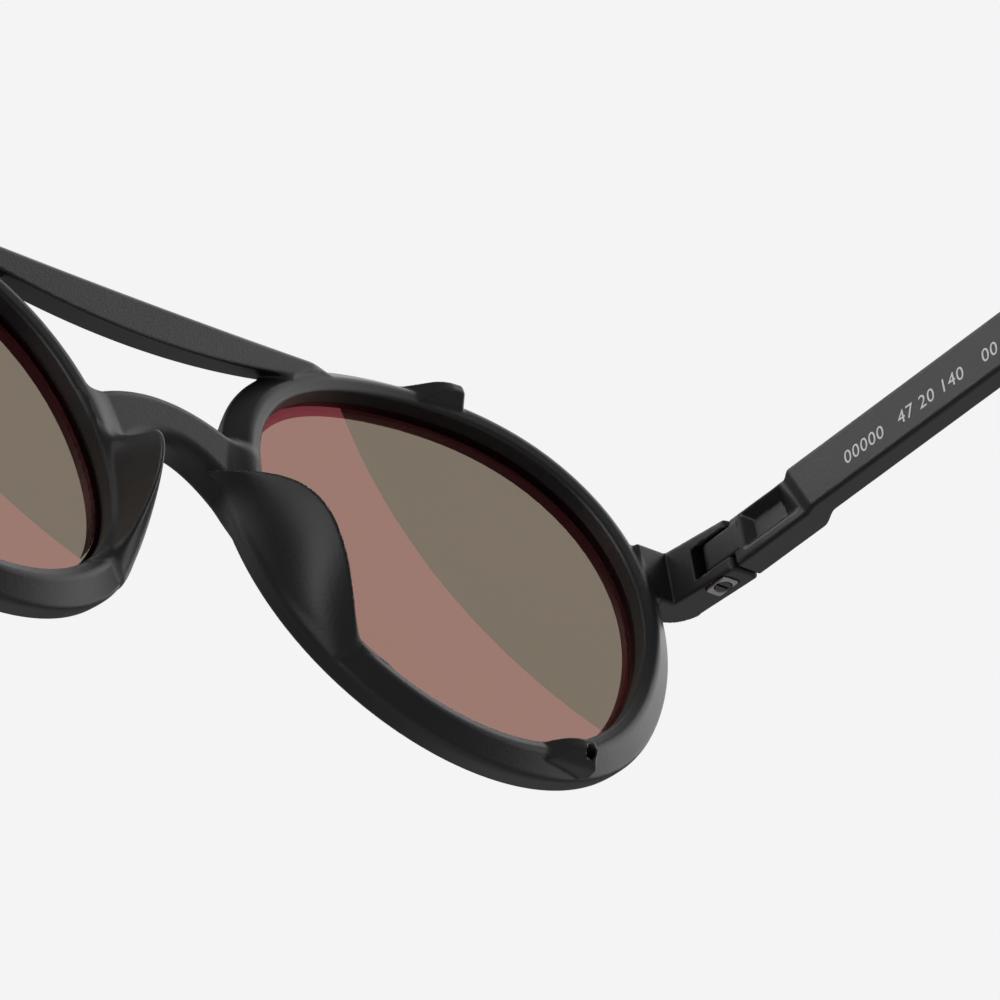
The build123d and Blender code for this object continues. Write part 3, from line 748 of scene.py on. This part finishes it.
def worked_metal(name, colour, smoothest, roughest):
    """A metal with short fine scratches along its length, of one colour and two roughnesses."""
    made = material(name)
    tree = made.node_tree
    place = add(tree, "ShaderNodeTexCoord").outputs["Object"]
    stretch = add(tree, "ShaderNodeMapping", {"Scale": (1.0, 0.12, 1.0)}, {"Vector": place})
    lines = add(tree, "ShaderNodeTexNoise", {"Scale": 1 / (0.06 * MM), "Detail": 3.0},
                {"Vector": stretch.outputs[0]})
    bump = add(tree, "ShaderNodeBump", {"Strength": 0.3, "Distance": 0.01 * MM},
               {"Height": lines.outputs["Fac"]})
    gloss = add(tree, "ShaderNodeMapRange", {"To Min": smoothest, "To Max": roughest},
                {"Value": lines.outputs["Fac"]})
    shade = add(tree, "ShaderNodeBsdfPrincipled", {"Base Color": linear(colour), "Metallic": 1.0},
                {"Roughness": gloss.outputs[0], "Normal": bump.outputs[0]})
    add(tree, "ShaderNodeOutputMaterial", (), {"Surface": shade.outputs[0]})
    return made


# Stamped plates are tumbled bright, screws blackened, wire and inserts drawn dull, bushes turned.
steel = worked_metal("tumbled_stainless_steel", "#9C9B99", 0.3, 0.45)
blackened = worked_metal("blackened_steel_screw", "#4A4A4C", 0.3, 0.45)
drawn = worked_metal("drawn_steel", "#B4B3B0", 0.25, 0.4)
brass = worked_metal("turned_brass", "#C9A45C", 0.2, 0.35)
near_pin = np.array(HINGE_PLACE)
HARDWARE_GRAIN = 0.06       # the cell size that the plates and screws are meshed at
right_plate = cast("stamped_plate", hinge_plate, near_pin - (1.8, 2.2, 3.7),
                   near_pin + (2.0, 2.2, -1.9), HARDWARE_GRAIN)
right_screw = cast("slotted_screw", hinge_screw, near_pin - (1.2, 1.4, 3.5),
                   near_pin + (1.2, 1.4, 3.1), HARDWARE_GRAIN)


def at_both_hinges(name, metal):
    """A node tree that repeats a mesh a hinge spacing to the wearer's left, and gives it its metal."""
    tree = bpy.data.node_groups.new(name, "GeometryNodeTree")
    tree.interface.new_socket("Piece", in_out="INPUT", socket_type="NodeSocketGeometry")
    tree.interface.new_socket("Hinge spacing", in_out="INPUT", socket_type="NodeSocketFloat")
    tree.interface.new_socket("Piece", in_out="OUTPUT", socket_type="NodeSocketGeometry")
    given = add(tree, "NodeGroupInput")
    step = add(tree, "ShaderNodeCombineXYZ", (), {"X": given.outputs["Hinge spacing"]})
    places = add(tree, "GeometryNodeMeshLine", {"Count": 2}, {"Offset": step.outputs[0]})
    copies = add(tree, "GeometryNodeInstanceOnPoints", (), {
        "Points": places.outputs[0], "Instance": given.outputs["Piece"]})
    real = add(tree, "GeometryNodeRealizeInstances", (), {0: copies.outputs[0]})
    finished = add(tree, "GeometryNodeSetMaterial", {"Material": metal}, {"Geometry": real.outputs[0]})
    add(tree, "NodeGroupOutput", (), {"Piece": finished.outputs[0]})
    return tree


def repeated(piece, name, tree):
    """The plain mesh that a tree makes of a piece."""
    mirrors = piece.modifiers.new(name, "NODES")
    mirrors.node_group = tree
    spacing = next(item for item in tree.interface.items_tree if item.name == "Hinge spacing")
    mirrors[spacing.identifier] = -2 * HINGE_PLACE.x * MM
    graph = bpy.context.evaluated_depsgraph_get()
    made = bpy.data.objects.new(name, bpy.data.meshes.new_from_object(piece.evaluated_get(graph)))
    bpy.context.scene.collection.objects.link(made)
    bpy.data.objects.remove(piece)
    return made


plates = repeated(right_plate, "stamped_hinge_plates", at_both_hinges("hinge plates", steel))
screws = repeated(right_screw, "slotted_hinge_screws", at_both_hinges("hinge screws", blackened))
for piece, node in ((plates, "hinge_plate"), (screws, "hinge_screw")):
    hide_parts(node + "_right", node + "_left")
    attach(piece, "front")

# The threaded inserts and the wire cores stay as packed, in steel, and the bushes in brass.
for node, made in frame["nodes"].items():
    if not made.hide_render:
        made.data.materials.clear()
        made.data.materials.append(brass if node.startswith("hinge_bush") else drawn)

# ---------------------------------------------------------------- size marks
# Pad-printed size numbers on the inner face of each temple, in light grey ink a few
# hundredths of a millimetre thick.
# what each group says, and how far behind the pin it starts
MARKS = (("00000", 20.2), ("47 20 140", 27.9), ("00", 39.8))
MARK_HEIGHT = 1.5
MARK_BASE = -1.25
INK = 0.03


def ink():
    """Two-part pad-printing ink: flat, light grey, slightly uneven where it took to the grain."""
    made = material("pad_print_ink")
    tree = made.node_tree
    place = add(tree, "ShaderNodeTexCoord").outputs["Object"]
    blots = add(tree, "ShaderNodeTexNoise", {"Scale": 1 / (0.25 * MM), "Detail": 2.0}, {"Vector": place})
    tone = add(tree, "ShaderNodeMix", {6: linear("#DEDEDE"), 7: linear("#EFEFEF")},
               {0: blots.outputs["Fac"]}, data_type="RGBA")
    shade = add(tree, "ShaderNodeBsdfPrincipled", {"Roughness": 0.5}, {"Base Color": tone.outputs[2]})
    add(tree, "ShaderNodeOutputMaterial", (), {"Surface": shade.outputs[0]})
    return made


def size_marks(name, side):
    """The three groups of numbers on one temple, which read from the nose side."""
    to_nose, along, pin = hinge_axes(SPLAY)
    points, faces = [], []
    for text, start in MARKS:
        curve = bpy.data.curves.new(name, "FONT")
        curve.body = text
        curve.size = MARK_HEIGHT / 0.7
        curve.extrude = INK / 2
        curve.resolution_u = 3
        curve.space_character = 1.08
        letters = bpy.data.objects.new(name, curve)
        flat = letters.to_mesh()
        base = len(points)
        end = max(v.co.x for v in flat.vertices)
        for vertex in flat.vertices:
            run = start + (vertex.co.x if side > 0 else end - vertex.co.x)
            place = to_nose * (ARM_INNER + vertex.co.z) + along * run + pin * (MARK_BASE + vertex.co.y)
            place = place + near_pin
            points.append((place[0] * side, place[1], place[2]))
        faces += [tuple(base + i for i in face.vertices) for face in flat.polygons]
        bpy.data.objects.remove(letters)
    mesh = bpy.data.meshes.new(name)
    mesh.from_pydata(to_model(points), [], faces)
    mesh.update()
    made = bpy.data.objects.new(name, mesh)
    bpy.context.scene.collection.objects.link(made)
    return made


printed = ink()
for side, sign in (("right", 1), ("left", -1)):
    marks = size_marks("printed_size_marks_" + side, sign)
    marks.data.materials.append(printed)
    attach(marks, side + "_temple")
